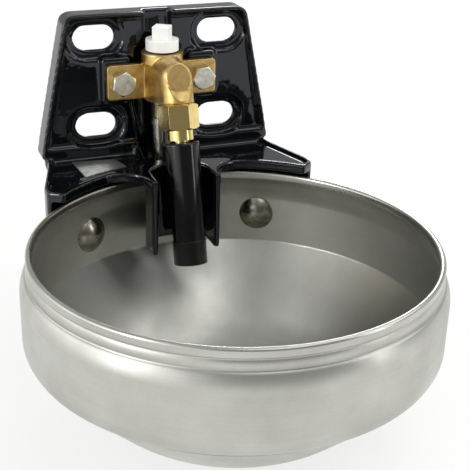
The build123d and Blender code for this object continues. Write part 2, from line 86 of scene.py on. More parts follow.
def add_node(tree: bpy.types.NodeTree, kind: str,
             settings: Optional[Dict[str, object]] = None,
             inputs: Optional[Dict[Union[str, int], Value]] = None) -> bpy.types.Node:
    """Adds one node with its settings and links.

    Args:
        tree: Node tree that gets the node.
        kind: Type of the node.
        settings: Attributes of the node and their values.
        inputs: Sockets, each with a constant or with the output that feeds it.

    Returns:
        The new node.
    """
    node = tree.nodes.new(kind)
    for name, value in (settings or {}).items():
        setattr(node, name, value)
    for socket, value in (inputs or {}).items():
        if isinstance(value, bpy.types.NodeSocket):
            tree.links.new(value, node.inputs[socket])
        else:
            node.inputs[socket].default_value = value
    return node


def per_metre(size_mm: float) -> float:
    """Noise scale whose grains are about this many millimetres apart."""
    return 1.0 / (size_mm * MM)


@dataclass(frozen=True)
class Finish:
    """Base of every finish: makes one material from its fields."""

    name: str = "finish"
    colour: str = "#808080"
    roughness: float = 0.5

    def start(self) -> Tuple[bpy.types.Material, bpy.types.NodeTree, bpy.types.Node]:
        """Makes an empty material with one principled shader.

        Returns:
            The material, its node tree and the shader node.
        """
        material = bpy.data.materials.new(self.name)
        material.use_nodes = True
        tree = material.node_tree
        tree.nodes.clear()
        shader = add_node(tree, "ShaderNodeBsdfPrincipled", inputs={
            "Base Color": linear(self.colour), "Roughness": self.roughness})
        add_node(tree, "ShaderNodeOutputMaterial", inputs={"Surface": shader.outputs["BSDF"]})
        return material, tree, shader

    def place(self, tree: bpy.types.NodeTree) -> bpy.types.NodeSocket:
        """Object coordinates in metres."""
        return add_node(tree, "ShaderNodeTexCoord").outputs["Object"]

    def grain(self, tree: bpy.types.NodeTree, size_mm: float, detail: float = 2.0,
              vector: Optional[bpy.types.NodeSocket] = None) -> bpy.types.NodeSocket:
        """Soft noise between 0 and 1.

        Args:
            tree: Node tree of the material.
            size_mm: Distance between grains.
            detail: Octaves of finer noise.
            vector: Coordinates, or object coordinates if left out.

        Returns:
            The noise value.
        """
        where = vector or self.place(tree)
        noise = add_node(tree, "ShaderNodeTexNoise", inputs={
            "Vector": where, "Scale": per_metre(size_mm), "Detail": detail})
        return noise.outputs["Fac"]

    def between(self, tree: bpy.types.NodeTree, value: bpy.types.NodeSocket, low: float,
                high: float) -> bpy.types.NodeSocket:
        """Maps the middle of a noise, where nearly all of it lies, to a range.

        Args:
            tree: Node tree of the material.
            value: The noise.
            low: Result at the noise's low end.
            high: Result at its high end.

        Returns:
            The mapped value.
        """
        return add_node(tree, "ShaderNodeMapRange", inputs={
            "Value": value, "From Min": 0.3, "From Max": 0.7, "To Min": low,
            "To Max": high}).outputs["Result"]

    def tint(self, tree: bpy.types.NodeTree, value: bpy.types.NodeSocket, first: str,
             second: str) -> bpy.types.NodeSocket:
        """Mixes two colours by a value.

        Args:
            tree: Node tree of the material.
            value: Share of the second colour.
            first: First colour.
            second: Second colour.

        Returns:
            The mixed colour.
        """
        mixed = add_node(tree, "ShaderNodeMix", {"data_type": "RGBA"}, {
            "Factor": value, "A": linear(first), "B": linear(second)})
        return mixed.outputs["Result"]

    def bump(self, tree: bpy.types.NodeTree, shader: bpy.types.Node,
             height: bpy.types.NodeSocket, depth_mm: float) -> None:
        """Feeds a height into the shader's normal.

        Args:
            tree: Node tree of the material.
            shader: Principled shader.
            height: Height between 0 and 1.
            depth_mm: Real depth of the texture.
        """
        node = add_node(tree, "ShaderNodeBump", inputs={
            "Strength": 1.0, "Distance": depth_mm * MM, "Height": height})
        tree.links.new(node.outputs["Normal"], shader.inputs["Normal"])


@dataclass(frozen=True)
class SpunStainless(Finish):
    """Stainless sheet, spun and then satin blasted: an even soft sheen with faint rings."""

    name: str = "spun_satin_stainless_steel"
    colour: str = "#CACAC4"
    roughness: float = 0.37
    worn: str = "#B2B2AB"
    ring_mm: float = 1.4        # real brushing is about 0.1 mm, drawn coarser so that it shows
    patch_mm: float = 38.0
    grit_mm: float = 1.1        # blasting grit is about 0.2 mm, drawn coarser so that it shows
    drift_mm: float = 4.0       # how far the rings change on their way round
    ring_share: float = 0.16
    grit_share: float = 0.12
    grit_depth_mm: float = 0.003
    smoother: float = 0.04      # least and most change of roughness over the patches
    rougher: float = 0.08
    bead_z: float = BOWL_RIM_Z - 0.0054     # the rolled rim above this height is burnished
    burnish: float = 0.75       # share of the roughness that is left there
    burnish_blur: float = 0.0005
    stretch: float = 0.25       # the sheen is drawn out across the rings

    def build(self) -> bpy.types.Material:
        """Makes the steel, with rings about the bowl's own axis.

        Returns:
            The material.
        """
        material, tree, shader = self.start()
        centred = add_node(tree, "ShaderNodeMapping", inputs={
            "Vector": self.place(tree), "Location": (0.0, -BOWL_AXIS_Y, 0.0)})
        flat = add_node(tree, "ShaderNodeVectorMath", {"operation": "MULTIPLY"}, {
            0: centred.outputs["Vector"], 1: (1.0, 1.0, 0.0)}).outputs["Vector"]
        radius = add_node(tree, "ShaderNodeVectorMath", {"operation": "LENGTH"}, {0: flat})
        around = add_node(tree, "ShaderNodeVectorMath", {"operation": "NORMALIZE"}, {0: flat})
        slow = add_node(tree, "ShaderNodeVectorMath", {"operation": "SCALE"}, {
            0: around.outputs["Vector"], "Scale": self.drift_mm * MM}).outputs["Vector"]
        parts = add_node(tree, "ShaderNodeSeparateXYZ", inputs={0: slow})
        height = add_node(tree, "ShaderNodeSeparateXYZ", inputs={0: centred.outputs["Vector"]})
        along = add_node(tree, "ShaderNodeMath", {"operation": "SUBTRACT"}, {
            0: height.outputs["Z"], 1: radius.outputs["Value"]}).outputs["Value"]
        rings = add_node(tree, "ShaderNodeCombineXYZ", inputs={
            "X": parts.outputs["X"], "Y": parts.outputs["Y"], "Z": along}).outputs["Vector"]
        brushed = self.grain(tree, self.ring_mm, 2.0, rings)
        patches = self.grain(tree, self.patch_mm, 4.0)
        grit = self.grain(tree, self.grit_mm, 1.0)
        streaked = add_node(tree, "ShaderNodeMix", {"data_type": "FLOAT"}, {
            "Factor": self.ring_share, "A": patches, "B": brushed}).outputs["Result"]
        both = add_node(tree, "ShaderNodeMix", {"data_type": "FLOAT"}, {
            "Factor": self.grit_share, "A": streaked, "B": grit}).outputs["Result"]
        spread = self.between(tree, both, 0.0, 1.0)
        tree.links.new(self.tint(tree, spread, self.colour, self.worn),
                       shader.inputs["Base Color"])
        satin = self.between(tree, both, self.roughness - self.smoother,
                             self.roughness + self.rougher)
        burnished = add_node(tree, "ShaderNodeMapRange", inputs={
            "Value": height.outputs["Z"], "From Min": self.bead_z - self.burnish_blur,
            "From Max": self.bead_z + self.burnish_blur, "To Min": 1.0,
            "To Max": self.burnish}).outputs["Result"]
        shine = add_node(tree, "ShaderNodeMath", {"operation": "MULTIPLY"}, {
            0: satin, 1: burnished}).outputs["Value"]
        tree.links.new(shine, shader.inputs["Roughness"])
        tangent = add_node(tree, "ShaderNodeVectorMath", {"operation": "CROSS_PRODUCT"}, {
            0: (0.0, 0.0, 1.0), 1: around.outputs["Vector"]}).outputs["Vector"]
        shader.inputs["Metallic"].default_value = 1.0
        shader.inputs["Anisotropic"].default_value = self.stretch
        shader.inputs["Anisotropic Rotation"].default_value = 0.25      # a quarter turn
        tree.links.new(tangent, shader.inputs["Tangent"])
        self.bump(tree, shader, grit, self.grit_depth_mm)
        return material


@dataclass(frozen=True)
class BlackEnamel(Finish):
    """Vitreous enamel fired on cast iron: deep gloss over a slightly wavy skin."""

    name: str = "black_vitreous_enamel"
    colour: str = "#06080B"
    sheen: str = "#F0F6FF"
    roughness: float = 0.04
    ior: float = 1.54           # glass
    wave_mm: float = 7.0
    wave_depth_mm: float = 0.16

    def build(self) -> bpy.types.Material:
        """Makes the enamel.

        Returns:
            The material.
        """
        material, tree, shader = self.start()
        shader.inputs["IOR"].default_value = self.ior
        shader.inputs["Specular Tint"].default_value = linear(self.sheen)
        self.bump(tree, shader, self.grain(tree, self.wave_mm, 1.0), self.wave_depth_mm)
        return material


@dataclass(frozen=True)
class Metal(Finish):
    """A metal whose surface is even or lightly grained."""

    second: str = "#808080"
    grain_mm: float = 3.0
    depth_mm: float = 0.0
    patch_mm: float = 9.0
    smoother: float = 0.85      # least and most share of the roughness over the patches
    rougher: float = 1.2

    def build(self) -> bpy.types.Material:
        """Makes the metal.

        Returns:
            The material.
        """
        material, tree, shader = self.start()
        shader.inputs["Metallic"].default_value = 1.0
        patches = self.grain(tree, self.patch_mm, 3.0)
        tree.links.new(self.tint(tree, self.between(tree, patches, 0.0, 1.0), self.colour,
                                 self.second), shader.inputs["Base Color"])
        shine = self.between(tree, patches, self.roughness * self.smoother,
                             self.roughness * self.rougher)
        tree.links.new(shine, shader.inputs["Roughness"])
        if self.depth_mm:
            self.bump(tree, shader, self.grain(tree, self.grain_mm, 2.0), self.depth_mm)
        return material


@dataclass(frozen=True)
class Moulded(Finish):
    """A moulded plastic or rubber with a faint texture."""

    grain_mm: float = 1.2
    depth_mm: float = 0.01
    ior: float = 1.49

    def build(self) -> bpy.types.Material:
        """Makes the plastic or rubber.

        Returns:
            The material.
        """
        material, tree, shader = self.start()
        shader.inputs["IOR"].default_value = self.ior
        self.bump(tree, shader, self.grain(tree, self.grain_mm, 2.0), self.depth_mm)
        return material


# Cast brass, tumbled after casting: matt sandy skin, slightly browned.
CAST_BRASS = Metal("tumbled_cast_brass", "#DABE80", 0.36, "#BE9C5C", 0.7, 0.03, 5.0)
# Free-cutting brass, turned on a lathe and polished.
POLISHED_BRASS = Metal("polished_turned_brass", "#F2DC9A", 0.2, "#E6C878", 4.0, 0.03, 9.0)
# Steel, zinc plated and blue passivated: cloudy grey.
ZINC_PLATE = Metal("zinc_plated_steel", "#F8F6EA", 0.32, "#C9C4B4", 1.6, 0.012, 5.0)
# Stainless cup heads, cold headed and darkened by handling.
HEADED_STAINLESS = Metal("cold_headed_stainless", "#B4AFA2", 0.24, "#7E796B", 1.2, 0.008, 5.0)
# Brass, nickel plated: warm grey.
NICKEL_PLATE = Metal("nickel_plated_brass", "#BDB8AC", 0.24, "#A09A8C", 1.5, 0.0, 8.0)
# Spring wire, drawn.
DRAWN_WIRE = Metal("drawn_spring_wire", "#A9A9A6", 0.3, "#98989A", 1.5, 0.0, 8.0)
# Thin zinc-coated steel sheet, punched and left as it was rolled.
MILL_SHEET = Metal("mill_finish_sheet", "#CDCFCA", 0.4, "#B0B2AC", 1.0, 0.006, 5.0)
# Polyamide, moulded, uncoloured.
WHITE_PLASTIC = Moulded("white_moulded_polyamide", "#F1F1EE", 0.42, 1.5, 0.01, 1.53)
# Acetal, turned, uncoloured.
TURNED_ACETAL = Moulded("turned_acetal", "#DDD9CE", 0.4, 1.5, 0.0, 1.48)
# Polyethylene tube, extruded black with a smooth skin.
TUBE_PLASTIC = Moulded("extruded_black_polyethylene", "#050608", 0.16, 5.0, 0.03, 1.47)
# Nitrile rubber, moulded, slightly dull.
NITRILE_RUBBER = Moulded("moulded_nitrile_rubber", "#060607", 0.3, 0.8, 0.01, 1.45)

SPUN_STAINLESS = SpunStainless()
BLACK_ENAMEL = BlackEnamel()

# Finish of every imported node, by the node's name.
NODE_FINISH: Dict[str, Finish] = {
    "bowl": SPUN_STAINLESS, "bracket": BLACK_ENAMEL, "bowl_bolts": HEADED_STAINLESS,
    "bowl_washers": ZINC_PLATE, "bowl_nuts": ZINC_PLATE, "flange_bolts": ZINC_PLATE,
    "flange_nuts": ZINC_PLATE, "valve_body": CAST_BRASS, "inlet_plug": WHITE_PLASTIC,
    "plug_gasket": NITRILE_RUBBER, "supply_tail": NICKEL_PLATE, "strainer": ZINC_PLATE,
    "union_nut": POLISHED_BRASS, "seat_ring": TURNED_ACETAL, "ball_liner": TURNED_ACETAL,
    "spindle": POLISHED_BRASS, "plunger": POLISHED_BRASS, "plunger_pad": NITRILE_RUBBER,
    "return_spring": DRAWN_WIRE, "valve_tube": TUBE_PLASTIC, "tube_sleeve": NITRILE_RUBBER,
}


# ---- Meshes ---------------------------------------------------------------------------------
def new_piece(name: str, bm: bmesh.types.BMesh, material: bpy.types.Material,
              smooth: bool = True) -> bpy.types.Object:
    """Makes an object at the origin from a finished bmesh.

    Args:
        name: Name of the piece.
        bm: Its mesh, in metres; it is freed here.
        material: Its finish.
        smooth: Whether its faces are shaded smooth.

    Returns:
        The new object, linked to the scene.
    """
    mesh = bpy.data.meshes.new(name)
    bm.to_mesh(mesh)
    bm.free()
    for face in mesh.polygons:
        face.use_smooth = smooth
    mesh.materials.append(material)
    piece = bpy.data.objects.new(name, mesh)
    bpy.context.scene.collection.objects.link(piece)
    return piece


def merged_copy(node: str, flat: float = 0.5) -> bmesh.types.BMesh:
    """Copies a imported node's mesh with its loose triangles joined into clean faces.

    Args:
        node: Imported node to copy.
        flat: Triangles within this angle, in degrees, become one face.

    Returns:
        The joined mesh.
    """
    bm = bmesh.new()
    bm.from_mesh(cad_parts[node].data)
    bmesh.ops.remove_doubles(bm, verts=bm.verts[:], dist=WELD)
    bmesh.ops.dissolve_limit(bm, angle_limit=math.radians(flat), verts=bm.verts[:],
                             edges=bm.edges[:])
    return bm


def finished(rough: bpy.types.Object) -> bmesh.types.BMesh:
    """Applies an object's modifiers and removes it.

    Args:
        rough: Object with live modifiers.

    Returns:
        The mesh that its modifiers make.
    """
    bpy.context.view_layer.update()
    done = rough.evaluated_get(bpy.context.evaluated_depsgraph_get()).to_mesh()
    result = bmesh.new()
    result.from_mesh(done)
    rough.to_mesh_clear()
    bpy.data.objects.remove(rough)
    return result


def loose_object(name: str, bm: bmesh.types.BMesh) -> bpy.types.Object:
    """Makes a working object without a finish.

    Args:
        name: Name of the object.
        bm: Its mesh; it is freed here.

    Returns:
        The object, linked to the scene.
    """
    mesh = bpy.data.meshes.new(name)
    bm.to_mesh(mesh)
    bm.free()
    rough = bpy.data.objects.new(name, mesh)
    bpy.context.scene.collection.objects.link(rough)
    return rough


def softened(bm: bmesh.types.BMesh, name: str, voxel_mm: float,
             passes: int) -> bmesh.types.BMesh:
    """Gives a mesh one even skin whose sharp edges are rounded as on a casting.

    Args:
        bm: Closed shells, which may overlap; it is freed here.
        name: Name for the object while it is worked on.
        voxel_mm: Size of the skin's faces.
        passes: Smoothing passes; more of them round the edges further.

    Returns:
        The rounded mesh.
    """
    rough = loose_object(name, bm)
    skin = rough.modifiers.new("even_skin", "REMESH")
    skin.mode = "VOXEL"
    skin.voxel_size = voxel_mm * MM
    ease = rough.modifiers.new("eased_edges", "SMOOTH")
    ease.factor = 0.5
    ease.iterations = passes
    return finished(rough)


def cylinder(radius: float, first: Vector, last: Vector, steps: int = 64) -> bmesh.types.BMesh:
    """Makes a closed cylinder between two points, all in millimetres.

    Args:
        radius: Its radius.
        first: Middle of one end.
        last: Middle of the other end.
        steps: Faces round it.

    Returns:
        The cylinder, in metres.
    """
    along = Vector(last) - Vector(first)
    place = (Matrix.Translation((Vector(first) + Vector(last)) * 0.5 * MM)
             @ along.to_track_quat("Z", "Y").to_matrix().to_4x4())
    bm = bmesh.new()
    bmesh.ops.create_cone(bm, cap_ends=True, segments=steps, radius1=radius * MM,
                          radius2=radius * MM, depth=along.length * MM, matrix=place)
    return bm


def joined(*parts: bmesh.types.BMesh) -> bmesh.types.BMesh:
    """Puts several meshes in one.

    Args:
        parts: The meshes; they are freed here.

    Returns:
        One mesh that holds them all.
    """
    whole = bmesh.new()
    for part in parts:
        mesh = bpy.data.meshes.new("part")
        part.to_mesh(mesh)
        part.free()
        whole.from_mesh(mesh)
        bpy.data.meshes.remove(mesh)
    return whole


def settle(piece: bpy.types.Object, body: Body, slot: str, *nodes: str) -> None:
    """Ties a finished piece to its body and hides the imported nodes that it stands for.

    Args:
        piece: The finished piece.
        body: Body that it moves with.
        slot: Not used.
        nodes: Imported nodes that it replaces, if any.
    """
    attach(piece, body.value)
    if nodes:
        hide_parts(*nodes)
    log.info("%s: %d faces on %s", piece.name, len(piece.data.polygons), body.value)


# ---- Sub-assemblies -------------------------------------------------------------------------
@dataclass
class FrameFinishes:
    """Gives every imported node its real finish."""

    made: Dict[str, bpy.types.Material] = field(default_factory=dict)

    def material(self, finish: Finish) -> bpy.types.Material:
        """Looks up the material of a finish and makes it the first time.

        Args:
            finish: The finish.

        Returns:
            Its one material.
        """
        if finish.name not in self.made:
            self.made[finish.name] = finish.build()
        return self.made[finish.name]

    def dress(self) -> None:
        """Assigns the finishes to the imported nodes."""
        for node, finish in NODE_FINISH.items():
            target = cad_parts[node]
            target.data.materials.clear()
            target.data.materials.append(self.material(finish))
            log.info("%s: %s", node, finish.name)


@dataclass(frozen=True)
class OutletAxis:
    """The leaning axis of the elbow, the union nut and the tube."""

    start: Tuple[float, float, float] = (0.0, -64.5, -14.3)     # middle of the union nut
    lean: float = 15.3
    flat_depth: float = 6.4     # flat on the elbow's front, before the axis
    flat_top: float = 23.0
    flat_low: float = 9.6
    flat_foot: float = 11.7

    def axis(self) -> Vector:
        """Unit vector up along the axis."""
        return Vector((0.0, math.sin(math.radians(self.lean)),
                       math.cos(math.radians(self.lean))))

    def forward(self) -> Vector:
        """Unit vector square to the axis, out of the wall and up."""
        return Vector((0.0, -math.cos(math.radians(self.lean)),
                       math.sin(math.radians(self.lean))))

    def at(self, travel: float, proud: float = 0.0) -> Vector:
        """Point on the axis, or in front of it.

        Args:
            travel: Distance up the axis from its start.
            proud: Distance in front of it.

        Returns:
            The point, in millimetres.
        """
        return Vector(self.start) + travel * self.axis() + proud * self.forward()

    def flats(self) -> List[Tuple[Vector, Vector]]:
        """The two planes of the elbow's front.

        Returns:
            A point and the outward normal of each.
        """
        top = self.at(self.flat_top, self.flat_depth)
        foot = self.at(self.flat_low, self.flat_foot)
        slope = (top - foot).cross(Vector((1.0, 0.0, 0.0))).normalized()
        if slope.dot(self.forward()) < 0:
            slope.negate()
        return [(top, self.forward()), (top, slope)]


OUTLET = OutletAxis()


class Outline:
    """Half section of a turned shape: points as radius and height in millimetres."""

    def __init__(self, radius: float, height: float) -> None:
        """Starts the outline at one point."""
        self.points: List[Tuple[float, float]] = [(radius, height)]

    def line(self, *ends: Tuple[float, float]) -> "Outline":
        """Goes straight to each of the given points.

        Args:
            ends: Points to go to, in order.

        Returns:
            The outline itself.
        """
        self.points.extend(ends)
        return self

    def bend(self, corner: Tuple[float, float], end: Tuple[float, float],
             fullness: float = 0.55, steps: int = 9) -> "Outline":
        """Goes round a corner to an end point on a smooth curve.

        Args:
            corner: Where the straight runs would meet.
            end: Where the curve ends.
            fullness: Share of the way to the corner at which the curve's handles lie.
            steps: Points on the curve.

        Returns:
            The outline itself.
        """
        first, last, middle = (Vector(p) for p in (self.points[-1], end, corner))
        curve = interpolate_bezier(first, first.lerp(middle, fullness),
                                   last.lerp(middle, fullness), last, steps)
        self.points.extend((p[0], p[1]) for p in curve[1:])
        return self

    def turned(self, steps: int, axis_y: float, base_z: float) -> bmesh.types.BMesh:
        """Closes the outline and spins it about an upright axis.

        Args:
            steps: Faces round the axis.
            axis_y: Where the axis stands, in metres.
            base_z: Height of the outline's zero, in metres.

        Returns:
            The turned mesh, with its normals outward.
        """
        bm = bmesh.new()
        ring = [bm.verts.new((r * MM, axis_y, base_z + z * MM)) for r, z in self.points]
        for first, second in zip(ring, ring[1:] + ring[:1]):
            bm.edges.new((first, second))
        bmesh.ops.spin(bm, geom=bm.verts[:] + bm.edges[:], cent=(0.0, axis_y, 0.0),
                       axis=(0.0, 0.0, 1.0), angle=math.tau, steps=steps, use_merge=True)
        bmesh.ops.remove_doubles(bm, verts=bm.verts[:], dist=WELD)
        bmesh.ops.recalc_face_normals(bm, faces=bm.faces[:])
        return bm


@dataclass
class SpunBowl:
    """The drinking bowl: rolled rim, neck, groove, shoulder, wall, crease and dished floor."""

    steps: int = 256            # faces round the axis
    sheet: float = 1.5
    rim_r: float = 127.0        # inside of the rolled rim
    rim_top: float = 1.0
    bead_w: float = 4.0
    bead_low: float = -5.3
    neck_r: float = 130.3
    groove_z: float = -11.6
    shoulder_corner: float = 6.5        # the shoulder's corner and end, below the groove
    shoulder_end: float = 12.0
    wall_r: float = 135.55
    wall_low: float = -55.0
    crease_z: float = -57.0     # inside, where the wall meets the floor
    cone_r: float = 121.0       # outside, the line above the dished foot
    cone_z: float = -72.8
    cone_end: Tuple[float, float] = (95.0, -99.8)
    dish_r: float = 72.1
    dish_flat_r: float = 20.0
    dish_z: float = -123.0
    floor_start: Tuple[float, float] = (94.0, -98.7)
    floor_r: float = 71.5
    floor_flat_r: float = 25.0
    dish_full: float = 0.7      # fullness and points of the dish's curves
    dish_steps: int = 14

    def outline(self) -> Outline:
        """Section through the sheet: down the outside and back up the inside.

        Returns:
            The closed outline.
        """
        out_r, mid_r = self.rim_r + self.bead_w, self.rim_r + self.bead_w / 2
        wall, inner, groove = self.wall_r, self.wall_r - self.sheet, self.groove_z
        neck, low, top = self.neck_r, self.bead_low, self.rim_top
        cone, foot, floor_z = self.cone_r, self.cone_z, self.dish_z + self.sheet
        corner, straight = groove - self.shoulder_corner, groove - self.shoulder_end
        run = Outline(mid_r, top)
        # Outside: bead, undercut, neck, groove, shoulder and wall.
        run.bend((out_r, top), (out_r, -top)).line((out_r, low + 2.0))
        run.bend((out_r, low), (neck, low), steps=6)
        run.line((neck - 0.5, low - 0.3), (neck, low - 1.1), (neck + 1.4, groove + 0.2),
                 (neck + 0.7, groove - 0.5), (neck + 1.9, groove - 1.1))
        run.bend((wall, corner), (wall, straight)).line((wall, self.wall_low))
        run.bend((wall, self.wall_low - 7.6), (wall - 5.5, self.wall_low - 11.4))
        # The pressed line above the dished foot, and the foot.
        run.line((cone + 1.7, foot + 1.5), (cone + 0.4, foot + 1.0), (cone + 1.2, foot + 0.2),
                 (cone + 0.5, foot - 0.4), (cone - 0.7, foot - 0.7), (cone - 1.6, foot - 1.5),
                 (cone - 11.4, foot - 12.6), self.cone_end)
        run.bend((self.dish_r, self.dish_z), (self.dish_flat_r, self.dish_z),
                 self.dish_full, self.dish_steps).line((0.0, self.dish_z))
        # Inside: floor, crease, wall, neck and rim.
        run.line((0.0, floor_z), (self.floor_flat_r, floor_z))
        run.bend((self.floor_r, floor_z), self.floor_start, self.dish_full, self.dish_steps)
        run.line((cone - 1.0, foot + 1.2), (inner - 0.7, self.crease_z - 0.7))
        run.bend((inner, self.crease_z), (inner, self.crease_z + 0.8), steps=4)
        run.line((inner, straight)).bend((inner, corner), (neck + 0.2, groove - 1.0))
        run.line((self.rim_r + 1.4, low - 0.4))
        run.bend((self.rim_r, low), (self.rim_r, low + 2.4), steps=6)
        run.line((self.rim_r, -top)).bend((self.rim_r, top), (mid_r, top))
        run.points.pop()
        return run

    def build(self, finishes: FrameFinishes) -> bpy.types.Object:
        """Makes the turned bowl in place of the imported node.

        Args:
            finishes: The shared materials.

        Returns:
            The bowl.
        """
        bm = self.outline().turned(self.steps, BOWL_AXIS_Y, BOWL_RIM_Z)
        piece = new_piece("spun_bowl", bm, finishes.material(SPUN_STAINLESS))
        settle(piece, Body.BASE, "stainless_bowl", "bowl")
        return piece


@dataclass
class EnamelledBracket:
    """The black casting, with the eased edges that thick enamel gives it."""

    voxel_mm: float = 1.25      # size of the skin's faces
    passes: int = 7

    def build(self, finishes: FrameFinishes) -> bpy.types.Object:
        """Makes the casting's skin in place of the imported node.

        Args:
            finishes: The shared materials.

        Returns:
            The skin.
        """
        bm = softened(merged_copy("bracket"), "bracket_rough", self.voxel_mm, self.passes)
        piece = new_piece("bracket_skin", bm, finishes.material(BLACK_ENAMEL))
        settle(piece, Body.BASE, "black_enamel", "bracket")
        return piece


@dataclass
class ValveCasting:
    """The cast brass body: run, flange and elbow, with the web and oval land of the casting."""

    voxel_mm: float = 0.55
    passes: int = 3
    run_low: float = -12.3      # ends of the upright run that the web joins
    run_high: float = 13.5
    web_run_r: float = 12.6
    web_outlet_r: float = 10.7
    outlet_low: float = 8.8     # ends of the web's arm, up the outlet's axis
    elbow: float = 26.5
    land: Tuple[float, float, float] = (0.0, -64.9, 12.9)
    land_r: float = 9.2
    land_depth: float = 3.0
    land_tilt: float = 23.0
    tail_bore: float = 8.4
    tail_depth: float = 10.0
    water_way: float = 7.2
    outlet_bore: float = 7.45
    outlet_depth: float = 23.5
    past: float = 2.0           # how far a cutter stands past the face that it enters
    sides: int = 48

    def web(self) -> bmesh.types.BMesh:
        """Metal between the run and the outlet, with its flat front and its water ways.

        Returns:
            The web.
        """
        run = [Vector((0.0, RUN_Y, z)) for z in (self.run_low, self.run_high)]
        arm = [OUTLET.at(s) for s in (self.outlet_low, self.elbow)]
        bm = joined(cylinder(self.web_run_r, *run, steps=self.sides),
                    cylinder(self.web_outlet_r, *arm, steps=self.sides))
        hull = bmesh.ops.convex_hull(bm, input=bm.verts[:])
        inside = [g for g in hull["geom_interior"] + hull["geom_unused"]
                  if isinstance(g, bmesh.types.BMVert) and g.is_valid]
        bmesh.ops.delete(bm, geom=inside, context="VERTS")
        for point, normal in OUTLET.flats():
            cut = bmesh.ops.bisect_plane(bm, geom=bm.verts[:] + bm.edges[:] + bm.faces[:],
                                         plane_co=point * MM, plane_no=normal,
                                         clear_outer=True)
            edges = [g for g in cut["geom_cut"] if isinstance(g, bmesh.types.BMEdge)]
            if edges:
                bmesh.ops.contextual_create(bm, geom=edges)
        bmesh.ops.recalc_face_normals(bm, faces=bm.faces[:])
        up = Vector((0.0, 0.0, 1.0))
        ways = [cylinder(self.tail_bore, run[0] - self.past * up, run[0] + self.tail_depth * up),
                cylinder(self.water_way, run[0], run[1] + 2 * self.past * up),
                cylinder(self.outlet_bore, OUTLET.at(0.0), OUTLET.at(self.outlet_depth))]
        solid = loose_object("web_rough", bm)
        tools = [loose_object("water_way", way) for way in ways]
        for tool in tools:
            cut = solid.modifiers.new("water_way", "BOOLEAN")
            cut.operation, cut.solver, cut.object = "DIFFERENCE", "EXACT", tool
        result = finished(solid)
        for tool in tools:
            bpy.data.objects.remove(tool)
        return result

    def oval_land(self) -> bmesh.types.BMesh:
        """Round land on the elbow's front, a little proud of the flat.

        Returns:
            The land.
        """
        tilt = math.radians(self.land_tilt)
        outward = Vector((0.0, -math.cos(tilt), math.sin(tilt)))
        front = Vector(self.land)
        return cylinder(self.land_r, front - self.land_depth * outward, front)

    def build(self, finishes: FrameFinishes) -> bpy.types.Object:
        """Makes the body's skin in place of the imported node.

        Args:
            finishes: The shared materials.

        Returns:
            The skin.
        """
        whole = joined(merged_copy("valve_body"), self.web(), self.oval_land())
        bm = softened(whole, "valve_rough", self.voxel_mm, self.passes)
        piece = new_piece("valve_body_skin", bm, finishes.material(CAST_BRASS))
        settle(piece, Body.BASE, "cast_brass", "valve_body")
        return piece


@dataclass
class EasedPart:
    """A turned, headed or moulded piece with the small edge radii that it has when made."""

    node: str
    body: Body
    slot: str
    ease_mm: float = 0.25
    turn: float = 0.0           # degrees about its own axis, as it was tightened
    turn_point: Vector = field(default_factory=lambda: OUTLET.at(0.0))
    turn_axis: Vector = field(default_factory=OUTLET.axis)
    sharp: float = 28.0         # edges that turn by more degrees than this are rounded

    def build(self, finishes: FrameFinishes) -> bpy.types.Object:
        """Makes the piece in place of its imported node.

        Args:
            finishes: The shared materials.

        Returns:
            The piece.
        """
        bm = merged_copy(self.node)
        if self.turn:
            bmesh.ops.rotate(bm, verts=bm.verts[:], cent=self.turn_point * MM,
                             matrix=Matrix.Rotation(math.radians(self.turn), 3, self.turn_axis))
        piece = new_piece(self.node + "_eased", bm, finishes.material(NODE_FINISH[self.node]))
        round_over = piece.modifiers.new("edge_radius", "BEVEL")
        round_over.width = self.ease_mm * MM
        round_over.segments = 2
        round_over.limit_method = "ANGLE"
        round_over.angle_limit = math.radians(self.sharp)
        shading = piece.modifiers.new("face_shading", "WEIGHTED_NORMAL")
        shading.keep_sharp = False
        settle(piece, self.body, self.slot, self.node)
        return piece


@dataclass
class ReturnSpring:
    """The wire spring above the plunger."""

    lift: float = 0.4           # the plunger's travel
    low: float = 9.2            # its lower end, up the outlet's axis
    height: float = 13.8

    def build(self, finishes: FrameFinishes) -> bpy.types.Object:
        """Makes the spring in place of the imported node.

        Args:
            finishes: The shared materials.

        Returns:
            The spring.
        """
        piece = new_piece("return_spring_wire", merged_copy("return_spring"),
                          finishes.material(DRAWN_WIRE))
        settle(piece, Body.BASE, "spring_steel", "return_spring")
        tuple(OUTLET.at(self.low + self.height) * MM)
        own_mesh(piece)
        return piece


@dataclass
class ShelfPlate:
    """Small bare sheet-metal plate that lies on the left of the shelf."""

    corners: Tuple[Tuple[float, float], ...] = (
        (-67.6, -22.8), (-36.5, -26.2), (-32.5, -42.9), (-49.1, -48.0), (-65.8, -55.0))
    under_z: float = -56.35
    thickness: float = 0.8
    ease_mm: float = 0.2

    def build(self, finishes: FrameFinishes) -> bpy.types.Object:
        """Makes the plate from its outline.

        Args:
            finishes: The shared materials.

        Returns:
            The plate.
        """
        bm = bmesh.new()
        outline = [bm.verts.new((x * MM, y * MM, self.under_z * MM)) for x, y in self.corners]
        base = bm.faces.new(outline)
        raised = bmesh.ops.extrude_face_region(bm, geom=[base])
        lifted = [v for v in raised["geom"] if isinstance(v, bmesh.types.BMVert)]
        bmesh.ops.translate(bm, verts=lifted, vec=(0.0, 0.0, self.thickness * MM))
        bmesh.ops.recalc_face_normals(bm, faces=bm.faces[:])
        bmesh.ops.bevel(bm, geom=bm.edges[:], offset=self.ease_mm * MM, segments=2, profile=0.5,
                        affect="EDGES", material=-1, offset_type="OFFSET")
        piece = new_piece("shelf_plate", bm, finishes.material(MILL_SHEET), smooth=False)
        settle(piece, Body.BASE, "zinc_steel")
        return piece


